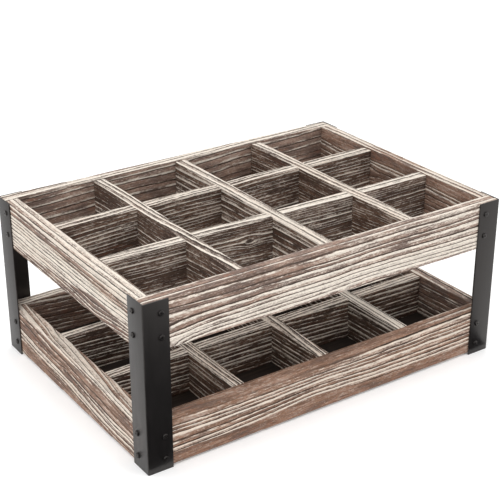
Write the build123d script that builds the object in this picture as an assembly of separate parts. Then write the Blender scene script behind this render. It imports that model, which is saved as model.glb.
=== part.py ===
from build123d import *
import os

# Wine rack: an open wooden crate that stores bottles upright in a grid of cells.
# Two rings of rails, one low and one high, are held apart by a steel angle at each corner.
# Each ring carries a grid of dividers, and a thin panel closes the bottom.
# Millimetres. +X runs along the length, +Y from front to back, +Z up.
# The origin is on the ground, in the middle of the footprint.

# Woodwork
LENGTH = 455.0  # outer length of the woodwork, along X
WIDTH = 320.0  # outer width of the woodwork, along Y
BOARD = 15.0  # thickness of every rail and divider
RAIL_HEIGHT = 55.0
SIDE_GAP = 77.0  # open height between the lower and upper rails
GROUND_GAP = 2.5  # height of the woodwork above the ground
DIVIDER_DROP = 1.0  # divider tops lie this far below the rail tops
PANEL_THICKNESS = 5.0
CELLS_ALONG = 4
CELLS_ACROSS = 3
SLOT_PLAY = 0.1  # play on each side of a crossing divider in its notch
CORNER_ROUND = 0.8  # outer corner edges of the long rails, under the angles

# Steel corner angles
ANGLE_LEG = 29.0  # width of each leg, from the outer corner
ANGLE_THICKNESS = 1.5
ANGLE_INNER_ROUND = 0.5

# Screws through the angles
SCREW_FROM_CORNER = 20.0  # from the outer corner of the angle to the screw
SCREW_FROM_END = 13.5  # from each end of the angle to the nearest screw
SCREW_PITCH = 26.0  # between the two screws of a pair
SCREW_SHANK = 3.0  # diameter
SCREW_HOLE = 3.4  # diameter of the holes in the angle
SCREW_LENGTH = 12.0  # below the head
SCREW_POINT = 2.5  # length of the tapered point
SCREW_HEAD = 6.2  # diameter
SCREW_HEAD_HEIGHT = 1.7
SCREW_HEAD_ROUND = 1.1
RECESS_LENGTH = 3.4  # cross recess, tip to tip
RECESS_WIDTH = 0.8
RECESS_DEPTH = 1.0

# Nails, punched below the surface and filled over
NAIL_SHANK = 1.5  # diameter
NAIL_HEAD = 2.6  # diameter
NAIL_HEAD_HEIGHT = 0.8
NAIL_PUNCH = 1.5  # depth of the head under the face of the wood
RAIL_NAIL_LENGTH = 35.0
PANEL_NAIL_LENGTH = 25.0
RAIL_NAIL_HEIGHTS = (24.0, 49.0)  # above the bottom of the rail
DIVIDER_NAIL_HEIGHTS = (15.0, 42.0)  # above the bottom of the rail
PANEL_NAIL_Y = 100.0  # nails into the cross dividers, each side of the middle
PANEL_NAIL_X = 165.0  # nails into the long dividers, each side of the middle

# Derived sizes and places
INNER_LENGTH = LENGTH - 2 * BOARD
INNER_WIDTH = WIDTH - 2 * BOARD
LOWER_RAIL_BOTTOM = GROUND_GAP
UPPER_RAIL_BOTTOM = LOWER_RAIL_BOTTOM + RAIL_HEIGHT + SIDE_GAP
ANGLE_HEIGHT = UPPER_RAIL_BOTTOM + RAIL_HEIGHT  # from the ground, flush with the rail tops
PANEL_TOP = GROUND_GAP + PANEL_THICKNESS
LEVELS = {"lower": LOWER_RAIL_BOTTOM, "upper": UPPER_RAIL_BOTTOM}
SIDES = (-1, 1)


def divider_centres(inner, cells):
    """Centre lines of the dividers that share an inner length equally between its cells."""
    cell = (inner - (cells - 1) * BOARD) / cells
    return [-inner / 2 + (i + 1) * (cell + BOARD) - BOARD / 2 for i in range(cells - 1)]


CROSS_DIVIDER_X = dict(zip(("left", "centre", "right"), divider_centres(INNER_LENGTH, CELLS_ALONG)))
LONG_DIVIDER_Y = dict(zip(("front", "back"), divider_centres(INNER_WIDTH, CELLS_ACROSS)))


def long_rail(side, bottom):
    """Front (side -1) or back (side 1) rail, which covers the ends of the side rails."""
    rail = Box(LENGTH, BOARD, RAIL_HEIGHT)
    edge_groups = rail.edges().filter_by(Axis.Z).group_by(Axis.Y)
    outer_edges = edge_groups[0] if side < 0 else edge_groups[-1]
    rail = fillet(outer_edges, CORNER_ROUND)
    return Pos(0, side * (WIDTH - BOARD) / 2, bottom + RAIL_HEIGHT / 2) * rail


def side_rail(side, bottom):
    """Left (side -1) or right (side 1) rail, between the front and back rails."""
    rail = Box(BOARD, INNER_WIDTH, RAIL_HEIGHT)
    return Pos(side * (LENGTH - BOARD) / 2, 0, bottom + RAIL_HEIGHT / 2) * rail


def divider_span(bottom):
    """Lowest and highest Z of the dividers in the ring of rails that starts at this height."""
    lowest = max(bottom, PANEL_TOP)
    highest = bottom + RAIL_HEIGHT - DIVIDER_DROP
    return lowest, highest


def cross_divider(x, bottom):
    """Divider from the front rail to the back rail, notched from below for the long dividers."""
    low, high = divider_span(bottom)
    half = (high - low) / 2
    board = Pos(x, 0, low + half) * Box(BOARD, INNER_WIDTH, 2 * half)
    notch = Box(BOARD, BOARD + 2 * SLOT_PLAY, half)
    for y in LONG_DIVIDER_Y.values():
        board -= Pos(x, y, low + half / 2) * notch
    return board


def long_divider(y, bottom):
    """Divider from the left rail to the right rail, notched from above for the cross dividers."""
    low, high = divider_span(bottom)
    half = (high - low) / 2
    board = Pos(0, y, low + half) * Box(INNER_LENGTH, BOARD, 2 * half)
    notch = Box(BOARD + 2 * SLOT_PLAY, BOARD, half)
    for x in CROSS_DIVIDER_X.values():
        board -= Pos(x, y, high - half / 2) * notch
    return board


def bottom_panel():
    """Thin panel inside the lower rails, under the lower dividers."""
    panel = Box(INNER_LENGTH, INNER_WIDTH, PANEL_THICKNESS)
    return Pos(0, 0, GROUND_GAP + PANEL_THICKNESS / 2) * panel


def screw_heights():
    """Heights of the four screws in one leg of an angle."""
    from_end = (SCREW_FROM_END, SCREW_FROM_END + SCREW_PITCH)
    return [*from_end, *(ANGLE_HEIGHT - distance for distance in from_end)]


def screw_sites(side_x, side_y):
    """Each screw's point on the outer face of an angle, with the way that its head faces."""
    outer_x = LENGTH / 2 + ANGLE_THICKNESS
    outer_y = WIDTH / 2 + ANGLE_THICKNESS
    inset_x = side_x * (outer_x - SCREW_FROM_CORNER)
    inset_y = side_y * (outer_y - SCREW_FROM_CORNER)
    sites = []
    for z in screw_heights():
        sites.append(((inset_x, side_y * outer_y, z), (0, side_y, 0)))
        sites.append(((side_x * outer_x, inset_y, z), (side_x, 0, 0)))
    return sites


def placed(fastener, point, facing):
    """Move a fastener that is modelled at the origin, head up, to a point and a facing."""
    return Plane(origin=point, z_dir=facing).location * fastener


def round_cornered_block(radius):
    """Block with one corner on the Z axis, whose vertical edge there is rounded."""
    block = Box(ANGLE_LEG, ANGLE_LEG, ANGLE_HEIGHT, align=(Align.MIN, Align.MIN, Align.MIN))
    bend = block.edges().filter_by(Axis.Z).sort_by_distance((0, 0, ANGLE_HEIGHT / 2))[0]
    return fillet(bend, radius)


def corner_angle(side_x, side_y):
    """Folded steel angle that wraps one vertical corner, with its screw holes."""
    outside = round_cornered_block(ANGLE_INNER_ROUND + ANGLE_THICKNESS)
    inside = Pos(ANGLE_THICKNESS, ANGLE_THICKNESS, 0) * round_cornered_block(ANGLE_INNER_ROUND)
    turn = {(-1, -1): 0, (1, -1): 90, (1, 1): 180, (-1, 1): 270}[(side_x, side_y)]
    corner_x = side_x * (LENGTH / 2 + ANGLE_THICKNESS)
    corner_y = side_y * (WIDTH / 2 + ANGLE_THICKNESS)
    angle = Pos(corner_x, corner_y, 0) * Rot(0, 0, turn) * (outside - inside)
    drill = Cylinder(SCREW_HOLE / 2, 6 * ANGLE_THICKNESS)
    return angle - [placed(drill, point, facing) for point, facing in screw_sites(side_x, side_y)]


def pan_head_screw():
    """Cross-recess pan head screw. Its head stands on Z = 0 and its point goes down."""
    head = Cylinder(SCREW_HEAD / 2, SCREW_HEAD_HEIGHT, align=(Align.CENTER, Align.CENTER, Align.MIN))
    head = fillet(head.edges().sort_by(Axis.Z)[-1], SCREW_HEAD_ROUND)
    slot = Box(RECESS_LENGTH, RECESS_WIDTH, RECESS_DEPTH, align=(Align.CENTER, Align.CENTER, Align.MAX))
    recess = Pos(0, 0, SCREW_HEAD_HEIGHT) * (slot + Rot(0, 0, 90) * slot)
    straight = SCREW_LENGTH - SCREW_POINT
    shank = Cylinder(SCREW_SHANK / 2, straight, align=(Align.CENTER, Align.CENTER, Align.MAX))
    tip_radius = SCREW_SHANK / 10
    point = Cone(tip_radius, SCREW_SHANK / 2, SCREW_POINT, align=(Align.CENTER, Align.CENTER, Align.MAX))
    return head + shank + Pos(0, 0, -straight) * point - recess


def flat_head_nail(length):
    """Small nail. The top of its head is at Z = 0 and its point goes down."""
    head = Cylinder(NAIL_HEAD / 2, NAIL_HEAD_HEIGHT, align=(Align.CENTER, Align.CENTER, Align.MAX))
    shank = Cylinder(NAIL_SHANK / 2, length, align=(Align.CENTER, Align.CENTER, Align.MAX))
    return head + shank


def bracket_screws(side_x, side_y):
    """The screws of one corner angle, heads against its outer faces."""
    screw = pan_head_screw()
    return [placed(screw, point, facing) for point, facing in screw_sites(side_x, side_y)]


def rail_corner_nails():
    """Nails through the long rails into the ends of the side rails."""
    nail = flat_head_nail(RAIL_NAIL_LENGTH)
    nails = []
    for bottom in LEVELS.values():
        for side_x in SIDES:
            for side_y in SIDES:
                x = side_x * (LENGTH - BOARD) / 2
                y = side_y * (WIDTH / 2 - NAIL_PUNCH)
                for height in RAIL_NAIL_HEIGHTS:
                    nails.append(placed(nail, (x, y, bottom + height), (0, side_y, 0)))
    return nails


def divider_nails():
    """Nails through the rails into the ends of the dividers."""
    nail = flat_head_nail(RAIL_NAIL_LENGTH)
    nails = []
    for bottom in LEVELS.values():
        for height in DIVIDER_NAIL_HEIGHTS:
            z = bottom + height
            for side in SIDES:
                for x in CROSS_DIVIDER_X.values():
                    y = side * (WIDTH / 2 - NAIL_PUNCH)
                    nails.append(placed(nail, (x, y, z), (0, side, 0)))
                for y in LONG_DIVIDER_Y.values():
                    x = side * (LENGTH / 2 - NAIL_PUNCH)
                    nails.append(placed(nail, (x, y, z), (side, 0, 0)))
    return nails


def bottom_panel_nails():
    """Nails from below through the bottom panel into the lower dividers, heads flush."""
    nail = flat_head_nail(PANEL_NAIL_LENGTH)
    points = [(x, side * PANEL_NAIL_Y) for x in CROSS_DIVIDER_X.values() for side in SIDES]
    points += [(side * PANEL_NAIL_X, y) for y in LONG_DIVIDER_Y.values() for side in SIDES]
    return [placed(nail, (x, y, GROUND_GAP), (0, 0, -1)) for x, y in points]


def boxes_meet(a, b):
    """True where two bounding boxes overlap."""
    return all(
        low_a < high_b and low_b < high_a
        for low_a, high_a, low_b, high_b in zip(a.min, a.max, b.min, b.max)
    )


def drilled(board, fasteners):
    """A board with a close-fitting hole for each fastener that enters it."""
    space = board.bounding_box()
    near = [fastener for fastener in fasteners if boxes_meet(space, fastener.bounding_box())]
    return board - near


def fastener_nodes():
    """Every group of like fasteners, by node name."""
    nodes = {
        "rail_corner_nails": rail_corner_nails(),
        "divider_nails": divider_nails(),
        "bottom_panel_nails": bottom_panel_nails(),
    }
    for y_name, side_y in zip(("front", "back"), SIDES):
        for x_name, side_x in zip(("left", "right"), SIDES):
            nodes[f"bracket_screws_{y_name}_{x_name}"] = bracket_screws(side_x, side_y)
    return nodes


def wooden_nodes():
    """Every rail, divider and panel before drilling, by node name."""
    nodes = {"bottom_panel": bottom_panel()}
    for level, bottom in LEVELS.items():
        for name, side in zip(("front", "back"), SIDES):
            nodes[f"{name}_{level}_rail"] = long_rail(side, bottom)
        for name, side in zip(("left", "right"), SIDES):
            nodes[f"{name}_{level}_rail"] = side_rail(side, bottom)
        for name, x in CROSS_DIVIDER_X.items():
            nodes[f"{level}_cross_divider_{name}"] = cross_divider(x, bottom)
        for name, y in LONG_DIVIDER_Y.items():
            nodes[f"{level}_long_divider_{name}"] = long_divider(y, bottom)
    return nodes


def angle_nodes():
    """The four corner angles, by node name."""
    return {
        f"corner_bracket_{y_name}_{x_name}": corner_angle(side_x, side_y)
        for y_name, side_y in zip(("front", "back"), SIDES)
        for x_name, side_x in zip(("left", "right"), SIDES)
    }


def main():
    fasteners = fastener_nodes()
    all_fasteners = [solid for group in fasteners.values() for solid in group]
    nodes = {name: drilled(board, all_fasteners) for name, board in wooden_nodes().items()}
    nodes.update(angle_nodes())
    nodes.update({name: Compound(children=group) for name, group in fasteners.items()})
    os.makedirs("parts", exist_ok=True)
    for name, shape in nodes.items():
        export_step(shape, f"parts/{name}.step")


main()
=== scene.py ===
import math

import bpy
import numpy as np
from bpy.props import FloatProperty, FloatVectorProperty, PointerProperty
from mathutils import Matrix, Vector


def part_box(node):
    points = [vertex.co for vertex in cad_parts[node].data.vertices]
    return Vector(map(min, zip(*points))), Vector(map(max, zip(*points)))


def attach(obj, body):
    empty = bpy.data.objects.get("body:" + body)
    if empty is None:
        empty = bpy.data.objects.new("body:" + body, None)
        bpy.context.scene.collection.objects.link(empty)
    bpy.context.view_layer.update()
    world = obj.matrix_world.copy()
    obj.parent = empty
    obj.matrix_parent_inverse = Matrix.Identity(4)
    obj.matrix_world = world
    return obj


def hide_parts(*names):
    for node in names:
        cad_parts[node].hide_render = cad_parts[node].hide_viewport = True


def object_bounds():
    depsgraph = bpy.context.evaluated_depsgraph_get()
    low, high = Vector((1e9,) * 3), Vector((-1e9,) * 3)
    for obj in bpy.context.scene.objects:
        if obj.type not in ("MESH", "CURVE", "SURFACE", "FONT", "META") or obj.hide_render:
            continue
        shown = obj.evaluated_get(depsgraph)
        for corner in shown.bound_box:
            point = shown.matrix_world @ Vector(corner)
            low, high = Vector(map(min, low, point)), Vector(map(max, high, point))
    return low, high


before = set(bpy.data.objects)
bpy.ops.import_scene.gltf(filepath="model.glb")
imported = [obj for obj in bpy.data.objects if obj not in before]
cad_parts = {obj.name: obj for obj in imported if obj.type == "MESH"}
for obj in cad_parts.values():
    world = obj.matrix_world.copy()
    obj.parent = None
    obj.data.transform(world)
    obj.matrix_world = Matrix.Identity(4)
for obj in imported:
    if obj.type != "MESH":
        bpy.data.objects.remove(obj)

bl_info = {
    "name": "Brushed Crate Wine Rack",
    "version": (1, 0, 0),
    "blender": (4, 5, 0),
    "location": "View3D > Sidebar > Wine Rack",
    "description": "Limed, wire-brushed boards, black corner angles and screws for the wine rack frame",
    "category": "Object",
}

MM = 0.001
NO_LENGTH = 0.001 * MM  # shorter than this counts as nothing
BODY = "root"
X, Y, Z = 0, 1, 2
CAD_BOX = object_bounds()
SIDES = {"left": -1, "right": 1, "front": -1, "back": 1}
CORNERS = [(depth, side) for depth in ("front", "back") for side in ("left", "right")]
WHITE = (1.0, 1.0, 1.0, 1.0)

# Where dividers cross
NOTCH_PLAY = 0.1 * MM
CUTTER_PAST = 2 * MM  # how far a cutter stands past the board

# Bottom panel
PANEL_STEP = 5 * MM  # mesh spacing
PANEL_EDGE = 0.4 * MM

# Corner angles
FOLD_STEPS = 6
SHEET_EDGE = 0.3 * MM
EDGE_WEAR, FOLD_WEAR = 1.0, 0.5

# Pan head screws
HEAD_SIDES = 28
SCREW_FROM_CORNER = 20 * MM
SCREW_FROM_END = 13.5 * MM
SCREW_PITCH = 26 * MM
HEAD_RADIUS = 3.1 * MM
HEAD_HEIGHT = 1.7 * MM
HEAD_ROUND = 1.1 * MM
SHANK_RADIUS = 1.5 * MM
SCREW_LENGTH = 12 * MM
POINT_SHARE = 0.2  # of the length
TIP_SHARE = 0.15  # of the shank's radius
RECESS_ARM = 3.4 * MM
RECESS_WIDTH = 0.85 * MM
RECESS_DEPTH = 1.0 * MM
RECESS_TAPER = (0.45, 0.7, 1)  # size of the recess at its bottom, for its size at the top

# Stage, in metres, watts and degrees
SOFTBOXES = {
    "key_light": {"place": (-1.7, -0.9, 2.2), "size": 1.6, "power": 21},
    "fill_light": {"place": (1.6, -2.0, 1.6), "size": 1.8, "power": 11},
    "top_light": {"place": (0.3, 0.6, 2.6), "size": 2.0, "power": 17},
}
FLOOR_SIZE = 16
FLAG_MIDDLE = (-0.19, -0.883, 0.004)
FLAG_SIZE = (0.84, 1.44, 1)
CAMERA_PLACE = (-0.7255, -1.0657, 0.7209)
CAMERA_HEADING = 34.34  # to the right of straight ahead
CAMERA_PITCH = 24.8  # below level


def display(red, green, blue):
    """Linear colour for a colour given as it looks on screen, from 0 to 1."""
    return tuple(c / 12.92 if c <= 0.04045 else ((c + 0.055) / 1.055) ** 2.4 for c in (red, green, blue))


# ---------------------------------------------------------------- settings


class WoodSettings(bpy.types.PropertyGroup):
    """Surface of the brushed and limed boards."""

    edge_round: FloatProperty(
        name="Edge round",
        description="Radius of the sanded edges of a board",
        default=1.0 * MM,
        unit="LENGTH",
    )
    groove_depth: FloatProperty(
        name="Groove depth",
        description="How deep the wire brush cut the soft wood between two growth rings",
        default=0.85 * MM,
        unit="LENGTH",
    )
    step_across: FloatProperty(
        name="Step across",
        description="Mesh spacing across the grain",
        default=0.72 * MM,
        unit="LENGTH",
    )
    step_along: FloatProperty(
        name="Step along",
        description="Mesh spacing along the grain",
        default=2.6 * MM,
        unit="LENGTH",
    )
    lime: FloatVectorProperty(
        name="Lime",
        description="Colour of the white lime wash on the hard rings",
        default=display(0.905, 0.865, 0.815),
        subtype="COLOR",
    )
    stain: FloatVectorProperty(
        name="Stain",
        description="Colour of the stained wood between the rings",
        default=display(0.555, 0.475, 0.435),
        subtype="COLOR",
    )
    # The groove colour is painted shade, drawn along the bottom of the brushed grooves.
    groove: FloatVectorProperty(
        name="Groove",
        description="Colour at the bottom of the brushed grooves",
        default=display(0.205, 0.16, 0.13),
        subtype="COLOR",
    )


class SteelSettings(bpy.types.PropertyGroup):
    """Folded steel angles and their screws."""

    leg: FloatProperty(
        name="Leg width",
        description="Width of each leg of a corner angle",
        default=29 * MM,
        unit="LENGTH",
    )
    thickness: FloatProperty(
        name="Sheet thickness",
        description="Thickness of the folded sheet",
        default=1.5 * MM,
        unit="LENGTH",
    )
    bend: FloatProperty(
        name="Bend radius",
        description="Outer radius of the fold",
        default=1.7 * MM,
        unit="LENGTH",
    )
    coating: FloatVectorProperty(
        name="Coating",
        description="Colour of the satin black coating",
        default=display(0.075, 0.068, 0.07),
        subtype="COLOR",
    )


class StageSettings(bpy.types.PropertyGroup):
    """Floor, lights and camera."""

    floor: FloatVectorProperty(
        name="Floor",
        description="Colour of the plain floor",
        default=display(0.97, 0.97, 0.97),
        subtype="COLOR",
    )
    lens: FloatProperty(
        name="Lens",
        description="Focal length of the camera, in millimetres",
        default=89.9,
    )
    sky: FloatProperty(
        name="Sky strength",
        description="Strength of the even light from all round",
        default=1.0,
    )


# ---------------------------------------------------------------- node expressions


class Wire:
    """A node socket. Python's operators on it add the Math nodes that they stand for."""

    def __init__(self, maker, socket):
        self.maker = maker
        self.socket = socket

    def maths(self, operation, *values):
        return self.maker.add("ShaderNodeMath", {"operation": operation}, dict(enumerate(values)))

    def __add__(self, other):
        return self.maths("ADD", self, other)

    def __radd__(self, other):
        return self.maths("ADD", other, self)

    def __sub__(self, other):
        return self.maths("SUBTRACT", self, other)

    def __rsub__(self, other):
        return self.maths("SUBTRACT", other, self)

    def __mul__(self, other):
        return self.maths("MULTIPLY", self, other)

    def __rmul__(self, other):
        return self.maths("MULTIPLY", other, self)

    def fraction(self):
        return self.maths("FRACT", self)

    def whole(self):
        return self.maths("FLOOR", self)

    def clamped(self):
        return self.maker.add("ShaderNodeClamp", {}, {0: self})


class Finish:
    """A new material's node tree, with short ways to add what the finishes here use."""

    def __init__(self, name):
        self.material = bpy.data.materials.new(name)
        self.material.use_nodes = True
        self.tree = self.material.node_tree
        self.surface = self.tree.nodes["Principled BSDF"]

    def add(self, kind, settings, inputs, output=0):
        """Add a node, set it up, give its sockets values or links, and return one of its outputs."""
        node = self.tree.nodes.new(kind)
        for name, value in settings.items():
            setattr(node, name, value)
        for name, value in inputs.items():
            self.feed(node.inputs[name], value)
        return Wire(self, node.outputs[output])

    def feed(self, socket, value):
        if isinstance(value, Wire):
            self.tree.links.new(value.socket, socket)
        else:
            socket.default_value = value

    def attribute(self, name, output="Fac"):
        return self.add("ShaderNodeAttribute", {"attribute_name": name}, {}, output)

    def place(self):
        return self.add("ShaderNodeTexCoord", {}, {}, "Object")

    def stretched(self, vector, size):
        """Scale a vector so that one unit is this size along each axis, in metres."""
        scale = tuple(1 / length for length in size)
        return self.add("ShaderNodeVectorMath", {"operation": "MULTIPLY"}, {0: vector, 1: scale})

    def noise(self, vector, size, detail=2.0, roughness=0.5):
        """Noise whose blots have this size along each axis of the vector."""
        inputs = {"Vector": self.stretched(vector, size), "Scale": 1.0}
        inputs.update({"Detail": detail, "Roughness": roughness})
        return self.add("ShaderNodeTexNoise", {}, inputs)

    def rise(self, value, start, end):
        """Smooth step from 0 at start to 1 at end."""
        settings = {"interpolation_type": "SMOOTHSTEP"}
        return self.add("ShaderNodeMapRange", settings, {"Value": value, "From Min": start, "From Max": end})

    def blend(self, factor, first, second):
        """Mix two colours."""
        return self.mix("MIX", factor, first, second)

    def tint(self, factor, first, second):
        """Multiply a colour by another one, by a factor."""
        return self.mix("MULTIPLY", factor, first, second)

    def mix(self, kind, factor, first, second):
        """Mix node for colours. Its colour sockets are the inputs 6 and 7 and the output 2."""
        settings = {"data_type": "RGBA", "blend_type": kind}
        inputs = {0: factor, 6: self.colour(first), 7: self.colour(second)}
        return self.add("ShaderNodeMix", settings, inputs, 2)

    def colour(self, value):
        return value if isinstance(value, Wire) else (*value, 1.0)

    def bump(self, height, distance, strength=1.0):
        return self.add("ShaderNodeBump", {}, {"Height": height, "Distance": distance, "Strength": strength})

    def coat(self, **inputs):
        """Set the sockets of the surface shader, and return the finished material."""
        for name, value in inputs.items():
            self.feed(self.surface.inputs[name.replace("_", " ").title().replace("Ior", "IOR")], value)
        return self.material


# ---------------------------------------------------------------- finishes


# A ring's phase runs from 0 to 1. Its last stretch is the dark line of painted shade at the bottom of the
# groove.
LINE_START, LINE_FULL, LINE_LAST = 0.78, 0.86, 0.96


def toned(colour, red, green=None, blue=None):
    """A colour with all its channels times one factor, or each times its own."""
    factors = (red, red, red) if green is None else (red, green, blue)
    return tuple(channel * factor for channel, factor in zip(colour, factors))


class BrushedGrain:
    """What a finish reads of a brushed board: its rings and lime, and noises that follow its grain."""

    def __init__(self, finish):
        self.finish = finish
        self.place = finish.attribute("grain", "Vector")
        self.wash = finish.attribute("wash")
        self.knot = finish.attribute("knot")
        self.warmth = finish.attribute("warmth")
        self.streak = self.noise(24, 1.2, 3.0, 0.6)
        self.fibre = self.noise(9, 0.35, 2.0, 0.6)
        self.speck = self.noise(3.2, 1.1, 3.0, 0.7)
        self.blotch = self.noise(15, 3.4, 4.0, 0.65)
        self.cloud = self.noise(55, 12, 2.0)
        self.milk = self.noise(5.5, 1.9, 4.0, 0.7)
        flutter = self.noise(14, 2.2, 3.0)
        rings = finish.attribute("ring") + 0.2 * flutter
        self.ring = rings.fraction()
        self.luck = finish.add("ShaderNodeTexWhiteNoise", {"noise_dimensions": "1D"}, {"W": rings.whole()})

    def noise(self, length, breadth, detail, roughness=0.5):
        """Noise around 0, in blots this long and broad along the grain, in millimetres."""
        size = (length * MM, breadth * MM, breadth * MM)
        return self.finish.noise(self.place, size, detail, roughness) - 0.5


def lime_cover(finish, grain):
    """How much lime hides the stain: firm on the ridges, patchy on the flats, with loose flecks."""
    ridge_end = 0.14 + 0.22 * grain.wash + 0.5 * grain.cloud + 0.12 * grain.luck
    kept = finish.rise(grain.wash + 1.6 * grain.blotch + 0.8 * grain.streak + 0.5 * grain.speck, 0.0, 0.34)
    ridge = finish.rise(ridge_end - grain.ring, -0.07, 0.07) * kept
    fade = 0.28 * (1 - grain.ring)
    flat = fade + 1.7 * (grain.wash - 0.5) + 2.1 * grain.blotch + 0.9 * grain.streak
    flat = 0.85 * finish.rise(flat + 1.6 * grain.speck + 0.4 * grain.fibre, -0.12, 0.90)
    fleck = 0.65 * finish.rise(grain.speck + 0.5 * grain.streak + 0.3 * grain.wash, 0.22, 0.36)
    return (1 - (1 - ridge) * (1 - flat) * (1 - fleck)) * (1 - 0.7 * grain.knot)


def stained_brown(finish, grain, stain, lime):
    """The stained soft wood: golden, bleached, dark, rusty and milky patches over the plain stain."""
    golden = (1.15 * grain.warmth + 3.0 * grain.cloud + 2.4 * grain.blotch).clamped() * 0.85
    bleached = finish.rise(grain.blotch + grain.cloud, 0.0, 0.3) * 0.6
    dark = 1 - finish.rise(grain.cloud + 1.2 * grain.streak + 0.8 * grain.speck, -0.26, 0.22)
    rusty = finish.rise(grain.blotch - grain.cloud + 0.4 * grain.speck, 0.10, 0.30) * 0.55
    milky = 0.62 * finish.rise(grain.milk + 0.5 * grain.cloud + 0.3 * grain.speck, 0.0, 0.26)
    thin_lime = tuple(0.52 * a + 0.46 * b for a, b in zip(stain, lime))
    brown = finish.blend(golden, stain, toned(stain, 1.10, 0.82, 0.60))
    brown = finish.blend(bleached, brown, toned(stain, 1.3))
    brown = finish.tint(dark, brown, (0.46, 0.44, 0.43))
    brown = finish.blend(rusty, brown, toned(stain, 1.0, 0.66, 0.5))
    return finish.blend(milky, brown, thin_lime)


def limed_ridge(finish, grain, lime):
    """The lime itself: cream where the board is warm, and thin along the fibres."""
    cream = (grain.warmth + 1.2 * grain.cloud - 0.3).clamped()
    thick = finish.rise(grain.streak + grain.fibre + grain.speck, -0.32, 0.22)
    cream = finish.blend(cream, lime, toned(lime, 0.86, 0.76, 0.70))
    return finish.blend(thick, toned(lime, 0.66), cream)


def limed_wood(settings, name="limed_wood", stain=None):
    """Brushed softwood: limed hard rings, stained soft wood, and grooves between them, darkened along their
    bottoms with painted shade.
    """
    finish = Finish(name)
    grain = BrushedGrain(finish)
    stain = stain or settings.stain
    cover = lime_cover(finish, grain)
    brown = stained_brown(finish, grain, stain, settings.lime)
    colour = finish.blend(cover, brown, limed_ridge(finish, grain, settings.lime))
    groove_shade_line = finish.rise(grain.ring, LINE_START, LINE_FULL) * (1 - finish.rise(grain.ring, LINE_LAST, 1.0))
    broken = finish.rise(grain.streak + grain.blotch, -0.35, -0.08) * finish.rise(grain.wash, -0.3, 0.1)
    painted_groove_shade = (groove_shade_line * broken * (0.7 + 0.3 * grain.luck)).clamped()
    # Painted shade: the groove colour drawn along the bottom of each groove.
    colour = finish.blend(painted_groove_shade, colour, settings.groove)
    colour = finish.blend(0.8 * grain.knot, colour, toned(stain, 0.3))
    roughness = 0.66 + 0.18 * cover + 0.25 * grain.fibre
    relief = grain.fibre * 0.6 + grain.streak * 0.4 + grain.speck * 0.4 - 0.5 * groove_shade_line
    normal = finish.bump(relief, 0.45 * MM, 0.9)
    return finish.coat(base_color=colour, roughness=roughness, normal=normal, specular_ior_level=0.25)


def dark_board_finish():
    """Thin very dark board with a faint straight grain and a little dust."""
    finish = Finish("dark_board")
    grain = finish.attribute("grain", "Vector")
    streak = finish.noise(grain, (60 * MM, 1.5 * MM, 1.5 * MM), 4.0, 0.6)
    cloud = finish.noise(grain, (90 * MM, 25 * MM, 25 * MM), 3.0)
    dust = finish.noise(grain, (9 * MM, 7 * MM, 7 * MM), 4.0, 0.7)
    dark, brown = display(0.10, 0.075, 0.06), display(0.21, 0.165, 0.135)
    colour = finish.blend(finish.rise(streak, 0.35, 0.7), dark, brown)
    colour = finish.blend(finish.rise(cloud, 0.4, 0.75) * 0.5, colour, display(0.14, 0.11, 0.10))
    colour = finish.blend(finish.rise(dust, 0.58, 0.8) * 0.25, colour, display(0.42, 0.37, 0.33))
    roughness = 0.6 + 0.25 * cloud
    normal = finish.bump(streak, 0.2 * MM, 0.6)
    return finish.coat(base_color=colour, roughness=roughness, normal=normal, specular_ior_level=0.3)


def black_coating(settings, name="black_coating", brightness=1.0):
    """Satin black coating with a fine orange-peel surface, faint rubs and paler worn edges."""
    finish = Finish(name)
    place = finish.place()
    peel = finish.noise(place, (0.55 * MM, 0.55 * MM, 0.55 * MM), 2.0)
    rub = finish.noise(place, (5 * MM, 5 * MM, 28 * MM), 4.0, 0.65)
    scuff = finish.noise(place, (1.4 * MM, 1.4 * MM, 9 * MM), 3.0, 0.7)
    worn = finish.attribute("edge")
    base = toned(settings.coating, brightness)
    colour = finish.blend(finish.rise(rub, 0.35, 0.75), base, toned(base, 1.35))
    chips = (worn * finish.rise(scuff, 0.42, 0.62)).clamped()
    colour = finish.blend(chips * 0.12, colour, display(0.46, 0.44, 0.42))
    roughness = 0.30 + 0.14 * rub + 0.06 * scuff
    normal = finish.bump(peel + 0.6 * scuff, 0.06 * MM, 0.6)
    warm = (1.0, 0.93, 0.88, 1.0)
    return finish.coat(base_color=colour, roughness=roughness, normal=normal, specular_tint=warm)


def nail_steel():
    """Plain drawn steel with a slightly uneven tone."""
    finish = Finish("nail_steel")
    place = finish.place()
    tone = finish.noise(place, (0.8 * MM, 0.8 * MM, 0.8 * MM), 3.0)
    colour = finish.blend(tone, display(0.50, 0.49, 0.48), display(0.72, 0.71, 0.70))
    return finish.coat(base_color=colour, roughness=0.35 + 0.25 * tone, metallic=1.0)


def studio_floor(settings):
    """Plain matt floor with a barely visible unevenness."""
    finish = Finish("studio_floor")
    tone = finish.noise(finish.place(), (0.35, 0.35, 0.35), 2.0)
    colour = finish.blend(tone, toned(settings.floor, 0.985), settings.floor)
    glow = {"emission_color": WHITE, "emission_strength": 0.1}
    return finish.coat(base_color=colour, roughness=0.9, specular_ior_level=0.1, **glow)


def black_card():
    """Matt black card."""
    finish = Finish("black_card")
    tone = finish.noise(finish.place(), (0.2, 0.2, 0.2))
    colour = finish.blend(tone, display(0.02, 0.02, 0.02), display(0.03, 0.03, 0.03))
    return finish.coat(base_color=colour, roughness=1.0)


# ---------------------------------------------------------------- timber


class Knot:
    """A knot on a board, by its distance along and across from the board's middle, and its radius."""

    def __init__(self, along, across, radius):
        self.along = along * MM
        self.across = across * MM
        self.radius = radius * MM


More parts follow.
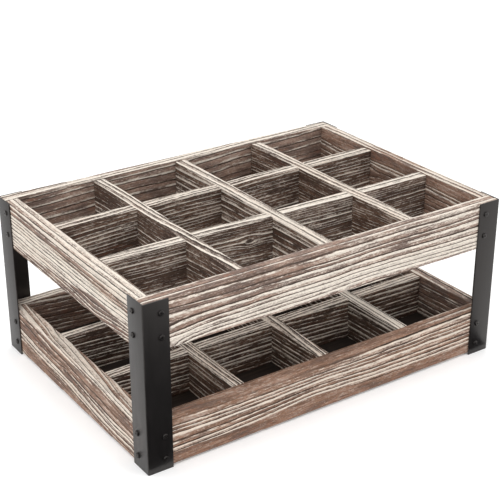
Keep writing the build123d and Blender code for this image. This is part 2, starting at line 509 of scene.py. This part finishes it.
class Band:
    """A strip along a board that took more lime (a positive amount) or less.

    Its points are (along, low, high), in millimetres from the board's middle.
    """

    def __init__(self, amount, *points):
        self.amount = amount
        self.along, self.low, self.high = (np.array(column) * MM for column in zip(*points))

    def strength(self, along, across, softness=1.5 * MM):
        low = np.interp(along, self.along, self.low)
        high = np.interp(along, self.along, self.high)
        inside = eased((across - low) / softness + 0.5) * eased((high - across) / softness + 0.5)
        return self.amount * inside


class Timber:
    """How one board was cut from its log, and how it took the lime. Lengths are given in millimetres."""

    def __init__(self, seed, pith, ring, wash, warmth, top_wash, wander, sweep, lean=0.0, sweep_from=40,
                 knots=(), bands=(), uneven=0.2, inner_shade_wash=-0.38):
        self.seed = seed  # of every random draw for the board
        self.pith = (pith[0] * MM, pith[1] * MM)  # middle of the log: across the face, and behind it
        self.lean = lean  # how far the pith moves across for each unit along
        self.ring = ring * MM  # average width of a growth ring
        self.wander = wander * MM  # how far the rings stray from circles
        self.sweep = sweep  # points (along, rise) that bend the rings up or down
        self.sweep_from = sweep_from * MM  # the sweep acts below this distance across
        self.knots = knots
        self.wash = wash  # lime that the board kept, about 0 to 1
        self.uneven = uneven  # how much that differs from ring to ring
        self.bands = bands
        self.top_wash = top_wash  # added to wash on the top edge
        self.inner_shade_wash = inner_shade_wash  # added to wash on the inner face, less lime there as painted shade
        self.warmth = warmth  # from grey brown and white (0) to golden brown and cream (1)


# The rails in front. Each band's points are (along, low, high).
RAIL_TIMBER = {
    "front_upper_rail": Timber(
        11, pith=(110, -90), ring=5.0, wander=1.5, wash=0.46, warmth=0.25, top_wash=-0.1,
        sweep=((-230, -16), (-205, -9), (-180, -2.5), (-150, 0), (60, 2), (230, -3)), sweep_from=14,
        knots=(Knot(-203, -22, 3.2),),
        bands=(
            Band(-0.25, (-230, 8, 23), (230, 7, 24)),
            Band(0.14, (-230, -26, -14), (-60, -28, -6), (230, -28, -8)),
            Band(0.22, (-90, 0, 0), (20, -28, 28), (230, -28, 28)),
        ),
    ),
    "front_lower_rail": Timber(
        12, pith=(120, -90), lean=0.008, ring=5.4, wander=1.5, wash=0.35, warmth=0.85, top_wash=0.0,
        sweep=((-230, 0), (-90, 1.5), (-20, 6), (60, 1), (230, 0)), sweep_from=24,
        bands=(
            Band(-0.45, (-230, 17, 30), (20, 19, 30), (110, 27, 30), (230, 30, 31)),
            Band(-0.75, (-230, -30, -14), (-90, -30, -15), (-20, -30, -10), (60, -30, -16), (230, -30, -17)),
        ),
    ),
    "left_upper_rail": Timber(
        13, pith=(150, -90), lean=0.012, ring=3.9, wander=0.8, wash=0.86, uneven=0.12, warmth=0.4,
        top_wash=-0.2, sweep_from=2,
        sweep=((-160, 6), (-110, 0), (-60, -6), (0, -2), (160, 0)),
        bands=(
            Band(-0.62, (-160, 4, 10), (-60, 7, 17), (60, 12, 22), (160, 18, 26)),
            Band(-0.56, (-160, -28, -16), (-95, -28, -9), (-62, -28, -6), (-10, -28, -13), (160, -28, -23)),
        ),
    ),
    "left_lower_rail": Timber(
        14, pith=(130, -90), lean=0.09, ring=5.6, wander=2.4, wash=0.33, uneven=0.24, warmth=0.65,
        top_wash=-0.08, sweep_from=20,
        sweep=((-160, 3), (-60, -2), (10, 3), (80, -1), (160, 0)),
        knots=(Knot(20, 2, 2.6),),
        bands=(
            Band(0.3, (-160, 16, 28), (-60, 21, 28), (160, 25, 28)),
            Band(0.3, (-160, -21, -6), (-60, -18, -6), (20, -12, -5), (160, 0, 6)),
            Band(-0.36, (-160, -4, 13), (-60, 3, 19), (160, 8, 24)),
            Band(-0.3, (-160, -28, -23), (0, -27, -16), (160, -26, -8)),
        ),
    ),
}

# Every other board: the ranges that its ring width and lime are drawn from, and its edges.
STOCK = {
    # The dividers' low lime is painted shade of the rack's inside, like their darker stain.
    "divider": {"ring": (3.4, 4.6), "wash": (0.2, 0.32), "inner_shade_wash": 0.0, "top_wash": 0.42},
    "rail": {"ring": (4.4, 5.6), "wash": (0.44, 0.56), "inner_shade_wash": -0.38, "top_wash": 0.25},
}
KNOT_CHANCE = 0.3
DIVIDER_NUMBERS = {"upper": 20, "lower": 30}  # the rails take the numbers from 0
FIRST_PICK = 500  # random seed of board 0's timber
FIRST_BRUSHING = 100  # random seed of board 0's surface


def timber_for(name, number):
    """Timber of a named board: chosen for the rails in front, and different for every other board."""
    if name in RAIL_TIMBER:
        return RAIL_TIMBER[name]
    pick = np.random.default_rng(FIRST_PICK + number)
    kind = "divider" if "divider" in name else "rail"
    stock = STOCK[kind]
    pith = (pick.choice((-1, 1)) * pick.uniform(60, 120), -pick.uniform(50, 90))
    sweep = [(along, pick.uniform(-4, 4)) for along in (-230, -110, 0, 110, 230)]
    knots = ()
    if pick.random() < KNOT_CHANCE:
        knots = (Knot(pick.uniform(-110, 110), pick.uniform(-18, 18), pick.uniform(2.5, 4)),)
    ring = pick.uniform(*stock["ring"])
    wash = pick.uniform(*stock["wash"])
    edge = pick.choice((-1, 1)) * pick.uniform(19, 25)
    bare = Band(-0.45, (-230, edge - 9, edge + 4), (0, edge - 4, edge + 8), (230, edge - 9, edge + 4))
    lean = pick.uniform(-0.04, 0.04)
    warmth = pick.uniform(0.2, 0.7)
    return Timber(
        FIRST_BRUSHING + number, pith=pith, lean=lean, ring=ring, wander=1.2, wash=wash, warmth=warmth,
        top_wash=stock["top_wash"], inner_shade_wash=stock["inner_shade_wash"],
        sweep=sweep, knots=knots, bands=(bare,) if kind == "rail" else (),
    )


def eased(t):
    """Smooth step of values between 0 and 1."""
    t = np.clip(t, 0.0, 1.0)
    return t * t * (3 - 2 * t)


def drift(rng, x, y, step_x, step_y):
    """Smooth random field over x and y, between -1 and 1, that changes over about one step."""
    column = (x - x.min()) / step_x
    row = (y - y.min()) / step_y
    i, j = column.astype(int), row.astype(int)
    values = rng.uniform(-1, 1, (i.max() + 2, j.max() + 2))
    u, v = eased(column - i), eased(row - j)
    near = values[i, j] * (1 - u) + values[i + 1, j] * u
    far = values[i, j + 1] * (1 - u) + values[i + 1, j + 1] * u
    return near * (1 - v) + far * v


SWEEP_ROUNDING = 14 * MM  # a sweep's corners are rounded over this distance on both sides
SWEEP_FADE = 30 * MM  # a sweep comes in over this distance across
LOG_RADIUS = 0.32
KNOT_RING = 2.1 * MM  # width of the rings inside a knot
KNOT_LENGTH = 1.8  # a knot's length for its height


def growth_rings(timber, rng, along, across, depth):
    """Ring number at each point, whole at the start of a ring, and how much each point is in a knot."""
    pith_across = timber.pith[0] + timber.lean * along
    points = np.array(timber.sweep) * MM
    nearby = np.linspace(-SWEEP_ROUNDING, SWEEP_ROUNDING, 9)[:, None]
    rise = np.interp(along + nearby, points[:, 0], points[:, 1]).mean(axis=0)
    bent = across - rise * eased((timber.sweep_from - across) / SWEEP_FADE)
    radius = np.hypot(bent - pith_across, depth - timber.pith[1])
    side = np.sign(across - pith_across)
    radius += timber.wander * drift(rng, along, across, 95 * MM, 40 * MM)
    radius += 0.3 * timber.wander * drift(rng, along, across, 28 * MM, 18 * MM)
    in_knot = np.zeros_like(radius)
    extra_rings = np.zeros_like(radius)
    for knot in timber.knots:
        reach = np.hypot((along - knot.along) / KNOT_LENGTH, across - knot.across)
        swell = np.exp(-((reach / (2.4 * knot.radius)) ** 2))
        radius -= 0.9 * side * (across - knot.across) * swell
        extra_rings += np.maximum(knot.radius - reach, 0) / KNOT_RING
        in_knot = np.maximum(in_knot, eased((1.15 * knot.radius - reach) / (0.6 * knot.radius)))
    widths = timber.ring * rng.uniform(0.55, 1.45, int(LOG_RADIUS / timber.ring))
    starts = np.concatenate(([0.0], np.cumsum(widths)))
    return np.interp(radius, starts, np.arange(len(starts))) + extra_rings, in_knot


def groove_shape(t):
    """Depth across one ring, from 0 on the hard ridge to 1 at the bottom of the groove."""
    shoulder = 0.35 * eased((t - 0.30) / 0.25)
    groove = 0.65 * eased((t - 0.72) / 0.17)
    climb = eased((t - 0.93) / 0.07)
    return (shoulder + groove) * (1 - climb)


def lime_left(timber, rng, ring, along, across, depth):
    """How much lime each point kept, from about 0 to 1."""
    per_ring = rng.uniform(-timber.uneven, timber.uneven, int(ring.max()) + 2)
    wash = timber.wash + per_ring[ring.astype(int)]
    wash += 0.7 * timber.uneven * drift(rng, along, across, 80 * MM, 9 * MM)
    for band in timber.bands:
        wash += band.strength(along, across)
    near_top = eased((across - across.max()) / (1.2 * MM) + 1)
    # Painted shade: the inner face loses lime by the inner shade wash, to stand for the shade inside the
    # rack.
    inner_face_shade = eased((depth.min() - depth) / (1.5 * MM) + 1)
    return wash + timber.top_wash * near_top + timber.inner_shade_wash * inner_face_shade


# ---------------------------------------------------------------- modelling


def choose(piece):
    """Make one object the only selected one, and the active one."""
    bpy.ops.object.select_all(action="DESELECT")
    piece.select_set(True)
    bpy.context.view_layer.objects.active = piece


def apply_place(piece):
    """Move an object's place, turn and scale into its mesh."""
    choose(piece)
    bpy.ops.object.transform_apply(location=True, rotation=True, scale=True)


def add_block(name, low, high):
    """Block between two corners, with its place in its mesh."""
    low, high = Vector(low), Vector(high)
    bpy.ops.object.select_all(action="DESELECT")
    bpy.ops.mesh.primitive_cube_add(size=1, location=(low + high) / 2, scale=high - low)
    block = bpy.context.active_object
    block.name = name
    apply_place(block)
    return block


def join(pieces):
    """Join pieces into the first of them."""
    choose(pieces[0])
    for piece in pieces[1:]:
        piece.select_set(True)
    bpy.ops.object.join()
    return pieces[0]


def slice_along(piece, axis, slices):
    """Cut a block's faces into equal slices along one axis, in two rounds of even cuts."""
    first = max(1, round(math.sqrt(slices)))
    second = max(1, math.ceil(slices / first))
    choose(piece)
    bpy.context.tool_settings.mesh_select_mode = (False, True, False)
    for parts in (first, second):
        if parts == 1:
            continue
        mesh = piece.data
        ends = np.empty(len(mesh.edges) * 2, np.int32)
        mesh.edges.foreach_get("vertices", ends)
        run = np.abs(np.diff(vertex_places(mesh)[ends.reshape(-1, 2)], axis=1))[:, 0]
        picked = run.argmax(axis=1) == axis
        mesh.vertices.foreach_set("select", np.zeros(len(mesh.vertices), bool))
        mesh.polygons.foreach_set("select", np.zeros(len(mesh.polygons), bool))
        mesh.edges.foreach_set("select", picked)
        bpy.ops.object.mode_set(mode="EDIT")
        bpy.ops.mesh.subdivide(number_cuts=parts - 1)
        bpy.ops.object.mode_set(mode="OBJECT")


def vertex_places(mesh):
    """Places of a mesh's vertices, one row each."""
    places = np.empty(len(mesh.vertices) * 3)
    mesh.vertices.foreach_get("co", places)
    return places.reshape(-1, 3)


def put_attribute(mesh, name, values):
    """Store one number, or one vector, for each vertex."""
    kind, key = ("FLOAT_VECTOR", "vector") if values.ndim == 2 else ("FLOAT", "value")
    layer = mesh.attributes.new(name, kind, "POINT")
    layer.data.foreach_set(key, values.astype(np.float32).ravel())


def use_modifier(piece, kind, **settings):
    """Add a modifier to a piece and apply it."""
    modifier = piece.modifiers.new(kind.lower(), kind)
    for name, value in settings.items():
        setattr(modifier, name, value)
    choose(piece)
    bpy.ops.object.modifier_apply(modifier=modifier.name)


def cut_notches(board, notches):
    """Cut a board's notches, given as pairs of corners, with one cutter."""
    cutter = join([add_block("notch_cutter", low, high) for low, high in notches])
    use_modifier(board, "BOOLEAN", object=cutter, operation="DIFFERENCE", solver="EXACT")
    bpy.data.objects.remove(cutter)


def brush_board(board, low, high, axis, outward, timber, settings):
    """Round a board's edges, brush its grain into the surface, and store what its finish reads."""
    rng = np.random.default_rng(timber.seed)
    centre = np.array(Vector(low) + Vector(high)) / 2
    half = np.array(Vector(high) - Vector(low)) / 2
    local = vertex_places(board.data) - centre
    core = np.clip(local, settings.edge_round - half, half - settings.edge_round)
    offset = local - core
    reach = np.linalg.norm(offset, axis=1, keepdims=True)
    normal = offset / np.maximum(reach, 1e-9)
    on_skin = np.abs(np.abs(local) - half).min(axis=1) < NO_LENGTH
    along = local[:, axis]
    across = local[:, Z]
    depth = local[:, 1 - axis] * outward
    ring, in_knot = growth_rings(timber, rng, along, across, depth)
    depths = settings.groove_depth * rng.uniform(0.45, 1.0, int(ring.max()) + 2)
    groove = depths[ring.astype(int)] * groove_shape(ring % 1.0)
    rounded = core + normal * (settings.edge_round - groove[:, None])
    shape = np.where(on_skin[:, None], rounded, local) + centre
    board.data.vertices.foreach_set("co", shape.ravel())
    board.data.update()
    put_attribute(board.data, "ring", ring)
    put_attribute(board.data, "knot", in_knot)
    put_attribute(board.data, "wash", lime_left(timber, rng, ring, along, across, depth))
    put_attribute(board.data, "warmth", np.full_like(ring, timber.warmth))
    shift = rng.uniform(0, 1, 3)
    put_attribute(board.data, "grain", np.stack((along, across, depth), axis=1) + shift)


def add_board(node, number, outward, settings, notches=()):
    """Brushed board in the place of a CAD board, with its grain along the longer side."""
    low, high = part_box(node)
    size = high - low
    axis = X if size.x > size.y else Y
    board = add_block("brushed_" + node, low, high)
    slice_along(board, axis, math.ceil(size[axis] / settings.step_along))
    for crosswise in {X, Y, Z} - {axis}:
        slice_along(board, crosswise, math.ceil(size[crosswise] / settings.step_across))
    if notches:
        cut_notches(board, notches)
    brush_board(board, low, high, axis, outward, timber_for(node, number), settings)
    choose(board)
    bpy.ops.object.shade_smooth_by_angle(angle=math.radians(55))
    return board


def settle(piece, material, slot, *nodes):
    """Give a finished piece its material, put it under the rack's body, and hide the CAD parts that it
    replaces.
    """
    piece.data.materials.clear()
    piece.data.materials.append(material)
    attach(piece, BODY)
    if nodes:
        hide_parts(*nodes)


def angle_corner(depth, side):
    """Foot of an angle's outer corner, and the angle's height."""
    low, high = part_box(f"corner_bracket_{depth}_{side}")
    x = low.x if side == "left" else high.x
    y = low.y if depth == "front" else high.y
    return Vector((x, y, low.z)), high.z - low.z


# ---------------------------------------------------------------- operators


class RACK_OT_add_rails(bpy.types.Operator):
    """Add the eight brushed rails of the lower and upper rings"""

    bl_idname = "rack.add_rails"
    bl_label = "Add Rails"

    def execute(self, context):
        settings = context.scene.rack_wood
        material = limed_wood(settings)
        names = [f"{side}_{level}_rail" for level in ("upper", "lower") for side in SIDES]
        for number, name in enumerate(names):
            board = add_board(name, number, SIDES[name.split("_")[0]], settings)
            settle(board, material, "whitewashed_pine", name)
        return {"FINISHED"}


class RACK_OT_add_dividers(bpy.types.Operator):
    """Add the brushed dividers, halved into each other where they cross"""

    bl_idname = "rack.add_dividers"
    bl_label = "Add Dividers"

    def execute(self, context):
        settings = context.scene.rack_wood
        # Painted shade: the dividers take a much darker stain than the rails, for the shade inside the rack.
        material = limed_wood(settings, "shaded_divider_wood", toned(settings.stain, 0.42, 0.37, 0.33))
        for level in ("upper", "lower"):
            crossing = [f"{level}_cross_divider_{name}" for name in ("left", "centre", "right")]
            running = [f"{level}_long_divider_{name}" for name in ("front", "back")]
            first = DIVIDER_NUMBERS[level]
            for number, name in enumerate(crossing + running, first):
                over = name in crossing
                notches = [self.notch(name, other, over) for other in (running if over else crossing)]
                board = add_board(name, number, 1, settings, notches)
                settle(board, material, "divider_pine", name)
        return {"FINISHED"}

    def notch(self, name, other, over):
        """Corners of the notch for another divider: in the lower half of the one that lies over."""
        low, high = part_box(name)
        other_low, other_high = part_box(other)
        middle = (low.z + high.z) / 2
        wide = Vector((CUTTER_PAST, NOTCH_PLAY, 0)) if over else Vector((NOTCH_PLAY, CUTTER_PAST, 0))
        start = Vector(map(max, low, other_low)) - wide
        end = Vector(map(min, high, other_high)) + wide
        start.z, end.z = (low.z - CUTTER_PAST, middle) if over else (middle, high.z + CUTTER_PAST)
        return start, end


class RACK_OT_add_bottom_panel(bpy.types.Operator):
    """Add the thin dark panel that the bottles stand on"""

    bl_idname = "rack.add_bottom_panel"
    bl_label = "Add Bottom Panel"

    def execute(self, context):
        low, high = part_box("bottom_panel")
        size = high - low
        board = add_block("dark_bottom_panel", low, high)
        slice_along(board, X, math.ceil(size.x / PANEL_STEP))
        slice_along(board, Y, math.ceil(size.y / PANEL_STEP))
        use_modifier(board, "BEVEL", width=PANEL_EDGE, segments=2, limit_method="ANGLE")
        put_attribute(board.data, "grain", vertex_places(board.data))
        bpy.ops.object.shade_smooth_by_angle(angle=math.radians(40))
        settle(board, dark_board_finish(), "dark_panel", "bottom_panel")
        return {"FINISHED"}


class RACK_OT_add_angles(bpy.types.Operator):
    """Add the four folded steel corner angles"""

    bl_idname = "rack.add_angles"
    bl_label = "Add Corner Angles"

    def execute(self, context):
        settings = context.scene.rack_steel
        material = black_coating(settings)
        turns = (0, 90, 270, 180)  # front left, front right, back left, back right
        for turn, (depth, side) in zip(turns, CORNERS):
            foot, height = angle_corner(depth, side)
            angle = self.folded_sheet(settings, height)
            angle.name = f"folded_angle_{depth}_{side}"
            angle.rotation_euler.z = math.radians(turn)
            angle.location = foot
            apply_place(angle)
            settle(angle, material, "black_steel", f"corner_bracket_{depth}_{side}")
        return {"FINISHED"}

    def folded_sheet(self, settings, height):
        """Angle with its outer corner on the Z axis and its legs along +X and +Y."""
        bend = settings.bend
        flat = settings.leg - bend
        bpy.ops.object.select_all(action="DESELECT")
        bpy.ops.mesh.primitive_plane_add(size=1, location=(bend + flat / 2, 0, height / 2))
        sheet = bpy.context.active_object
        sheet.rotation_euler.x = math.radians(90)
        sheet.scale = (flat, height, 1)
        apply_place(sheet)
        self.select_vertices(sheet, lambda place: abs(place.x - bend) < NO_LENGTH)
        bpy.ops.object.mode_set(mode="EDIT")
        bpy.ops.mesh.spin(steps=FOLD_STEPS, angle=math.radians(90), center=(bend, bend, 0), axis=(0, 0, 1))
        bpy.ops.mesh.extrude_region_move(TRANSFORM_OT_translate={"value": (0, flat, 0)})
        bpy.ops.mesh.select_all(action="SELECT")
        bpy.ops.mesh.remove_doubles(threshold=NO_LENGTH)
        bpy.ops.mesh.normals_make_consistent(inside=False)
        bpy.ops.object.mode_set(mode="OBJECT")
        use_modifier(sheet, "SOLIDIFY", thickness=settings.thickness, offset=-1)
        use_modifier(sheet, "BEVEL", width=SHEET_EDGE, segments=2, limit_method="ANGLE")
        self.mark_edges(sheet, settings)
        bpy.ops.object.shade_smooth_by_angle(angle=math.radians(35))
        return sheet

    def select_vertices(self, piece, test):
        """Select the vertices that pass a test of their place."""
        choose(piece)
        bpy.context.tool_settings.mesh_select_mode = (True, False, False)
        bpy.ops.object.mode_set(mode="EDIT")
        bpy.ops.mesh.select_all(action="DESELECT")
        bpy.ops.object.mode_set(mode="OBJECT")
        for vertex in piece.data.vertices:
            vertex.select = test(vertex.co)

    def mark_edges(self, sheet, settings):
        """Mark the vertices on the sheet's cut edges and on the fold, where the coating wears."""
        places = vertex_places(sheet.data)
        near = 0.01 * MM
        at_ends = (places > places.max(axis=0) - near).any(axis=1) | (places[:, Z] < near)
        at_fold = (places[:, X] < settings.bend * 0.7) & (places[:, Y] < settings.bend * 0.7)
        put_attribute(sheet.data, "edge", np.maximum(at_ends * EDGE_WEAR, at_fold * FOLD_WEAR))


class RACK_OT_add_screws(bpy.types.Operator):
    """Add the cross-recess pan head screws of the corner angles"""

    bl_idname = "rack.add_screws"
    bl_label = "Add Screws"

    def execute(self, context):
        settings = context.scene.rack_steel
        material = black_coating(settings, "black_screw_steel", 0.8)
        pattern = self.pan_head()
        for depth, side in CORNERS:
            screws = join([self.copy_at(pattern, *site) for site in self.sites(depth, side)])
            screws.name = f"pan_head_screws_{depth}_{side}"
            settle(screws, material, "black_screw", f"bracket_screws_{depth}_{side}")
        bpy.data.objects.remove(pattern)
        return {"FINISHED"}

    def pan_head(self):
        """One screw, its head standing on Z = 0 and its point below."""
        bpy.ops.object.select_all(action="DESELECT")
        size = {"radius": HEAD_RADIUS, "depth": HEAD_HEIGHT}
        middle = (0, 0, HEAD_HEIGHT / 2)
        bpy.ops.mesh.primitive_cylinder_add(vertices=HEAD_SIDES, location=middle, **size)
        screw = bpy.context.active_object
        screw.name = "screw_pattern"
        apply_place(screw)
        self.select_face(screw, 1)
        bpy.ops.object.mode_set(mode="EDIT")
        bpy.ops.mesh.bevel(offset=HEAD_ROUND, segments=5, affect="EDGES")
        bpy.ops.object.mode_set(mode="OBJECT")
        self.select_face(screw, -1)
        bpy.ops.object.mode_set(mode="EDIT")
        bpy.ops.mesh.inset(thickness=HEAD_RADIUS - SHANK_RADIUS)
        for share in (1 - POINT_SHARE, POINT_SHARE):
            bpy.ops.mesh.extrude_region_move(TRANSFORM_OT_translate={"value": (0, 0, -share * SCREW_LENGTH)})
        bpy.ops.transform.resize(value=(TIP_SHARE, TIP_SHARE, 1), center_override=(0, 0, -SCREW_LENGTH))
        bpy.ops.object.mode_set(mode="OBJECT")
        self.cut_recess(screw)
        places = vertex_places(screw.data)
        on_top = places[:, Z] > HEAD_HEIGHT - 0.05 * MM
        on_arms = np.abs(places[:, :2]).min(axis=1) < 0.5 * MM
        put_attribute(screw.data, "edge", (on_top & on_arms) * EDGE_WEAR)
        bpy.ops.object.shade_smooth_by_angle(angle=math.radians(40))
        return screw

    def select_face(self, piece, direction):
        """Select the flat faces that face up (1) or down (-1)."""
        choose(piece)
        bpy.context.tool_settings.mesh_select_mode = (False, False, True)
        bpy.ops.object.mode_set(mode="EDIT")
        bpy.ops.mesh.select_all(action="DESELECT")
        bpy.ops.object.mode_set(mode="OBJECT")
        for face in piece.data.polygons:
            face.select = face.normal.z * direction > 0.99

    def cut_recess(self, screw):
        """Cut the cross recess into the head, narrower towards its bottom."""
        half = Vector((RECESS_ARM / 2, RECESS_WIDTH / 2, RECESS_DEPTH))
        for turn in (0, 90):
            blade = add_block("recess_cutter", -half, half)
            self.select_face(blade, -1)
            bpy.ops.object.mode_set(mode="EDIT")
            bpy.ops.transform.resize(value=RECESS_TAPER, center_override=(0, 0, -RECESS_DEPTH))
            bpy.ops.object.mode_set(mode="OBJECT")
            blade.rotation_euler.z = math.radians(turn)
            blade.location.z = HEAD_HEIGHT
            apply_place(blade)
            use_modifier(screw, "BOOLEAN", object=blade, operation="DIFFERENCE", solver="EXACT")
            bpy.data.objects.remove(blade)

    def sites(self, depth, side):
        """Each screw's place on the outside of its angle, and the way that it faces."""
        foot, height = angle_corner(depth, side)
        from_end = (SCREW_FROM_END, SCREW_FROM_END + SCREW_PITCH)
        out_x, out_y = SIDES[side], SIDES[depth]
        for z in (*from_end, height - from_end[1], height - from_end[0]):
            yield foot + Vector((-out_x * SCREW_FROM_CORNER, 0, z)), Vector((0, out_y, 0))
            yield foot + Vector((0, -out_y * SCREW_FROM_CORNER, z)), Vector((out_x, 0, 0))

    def copy_at(self, pattern, point, facing):
        """Copy of the pattern at a point, its head facing a way, turned to an angle of its own."""
        copy = pattern.copy()
        copy.data = pattern.data.copy()
        bpy.context.scene.collection.objects.link(copy)
        # The large factor makes heights that differ a little give quite different angles.
        driven = math.radians((point.z * 7919 / MM + 31 * facing.x + 57 * facing.y) % 90)
        turn = facing.to_track_quat("Z", "Y").to_matrix().to_4x4()
        copy.matrix_world = Matrix.Translation(point) @ turn @ Matrix.Rotation(driven, 4, "Z")
        apply_place(copy)
        return copy


class RACK_OT_finish_nails(bpy.types.Operator):
    """Give the hidden nails their steel"""

    bl_idname = "rack.finish_nails"
    bl_label = "Finish Nails"

    def execute(self, context):
        steel = nail_steel()
        for name in ("rail_corner_nails", "divider_nails", "bottom_panel_nails"):
            for material_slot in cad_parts[name].material_slots:
                material_slot.material = steel
        return {"FINISHED"}


class RACK_OT_set_stage(bpy.types.Operator):
    """Set the floor, the lights and the camera"""

    bl_idname = "rack.set_stage"
    bl_label = "Set Stage"

    def execute(self, context):
        settings = context.scene.rack_stage
        self.add_floor(settings)
        self.add_sky(context.scene, settings)
        for name, softbox in SOFTBOXES.items():
            self.add_softbox(name, **softbox)
        self.add_flag()
        self.add_camera(context.scene, settings)
        context.scene.view_settings.view_transform = "Standard"
        return {"FINISHED"}

    def add_floor(self, settings):
        bpy.ops.object.select_all(action="DESELECT")
        bpy.ops.mesh.primitive_plane_add(size=FLOOR_SIZE, location=(0, 0, 0))
        floor = bpy.context.active_object
        floor.name = "studio_floor"
        floor.data.materials.append(studio_floor(settings))

    def add_flag(self):
        """Black card lying in front, seen only as a reflection in the satin steel."""
        bpy.ops.object.select_all(action="DESELECT")
        bpy.ops.mesh.primitive_plane_add(size=1, location=FLAG_MIDDLE)
        flag = bpy.context.active_object
        flag.name = "black_flag"
        flag.scale = FLAG_SIZE
        apply_place(flag)
        flag.visible_camera = False
        flag.visible_diffuse = False
        flag.visible_shadow = False
        flag.data.materials.append(black_card())

    def add_sky(self, scene, settings):
        scene.world = bpy.data.worlds.new("studio")
        scene.world.use_nodes = True
        sky = scene.world.node_tree.nodes["Background"]
        sky.inputs["Color"].default_value = WHITE
        sky.inputs["Strength"].default_value = settings.sky

    def add_softbox(self, name, place, size, power):
        """Square soft light that faces the rack's middle."""
        target = (CAD_BOX[0] + CAD_BOX[1]) / 2
        bpy.ops.object.light_add(type="AREA", location=place)
        light = bpy.context.active_object
        light.name = name
        light.data.size = size
        light.data.energy = power
        light.rotation_euler = (target - Vector(place)).to_track_quat("-Z", "Y").to_euler()

    def add_camera(self, scene, settings):
        bpy.ops.object.camera_add(location=CAMERA_PLACE)
        camera = bpy.context.active_object
        camera.name = "front_left_camera"
        camera.data.lens = settings.lens
        camera.rotation_euler = (math.radians(90 - CAMERA_PITCH), 0, -math.radians(CAMERA_HEADING))
        scene.camera = camera


class RACK_PT_panel(bpy.types.Panel):
    """Sidebar panel that builds the rack and shows its settings"""

    bl_label = "Wine Rack"
    bl_idname = "RACK_PT_panel"
    bl_space_type = "VIEW_3D"
    bl_region_type = "UI"
    bl_category = "Wine Rack"

    def draw(self, context):
        for operator in OPERATORS:
            self.layout.operator(operator.bl_idname)
        for settings in (context.scene.rack_wood, context.scene.rack_steel, context.scene.rack_stage):
            for name in settings.__annotations__:
                self.layout.prop(settings, name)


OPERATORS = (
    RACK_OT_add_rails,
    RACK_OT_add_dividers,
    RACK_OT_add_bottom_panel,
    RACK_OT_add_angles,
    RACK_OT_add_screws,
    RACK_OT_finish_nails,
    RACK_OT_set_stage,
)
CLASSES = (WoodSettings, SteelSettings, StageSettings, *OPERATORS, RACK_PT_panel)


def register():
    for item in CLASSES:
        bpy.utils.register_class(item)
    bpy.types.Scene.rack_wood = PointerProperty(type=WoodSettings)
    bpy.types.Scene.rack_steel = PointerProperty(type=SteelSettings)
    bpy.types.Scene.rack_stage = PointerProperty(type=StageSettings)


def unregister():
    del bpy.types.Scene.rack_stage
    del bpy.types.Scene.rack_steel
    del bpy.types.Scene.rack_wood
    for item in reversed(CLASSES):
        bpy.utils.unregister_class(item)


def main():
    register()
    bpy.ops.rack.add_rails()
    bpy.ops.rack.add_dividers()
    bpy.ops.rack.add_bottom_panel()
    bpy.ops.rack.add_angles()
    bpy.ops.rack.add_screws()
    bpy.ops.rack.finish_nails()
    bpy.ops.rack.set_stage()


if __name__ == "__main__":
    main()
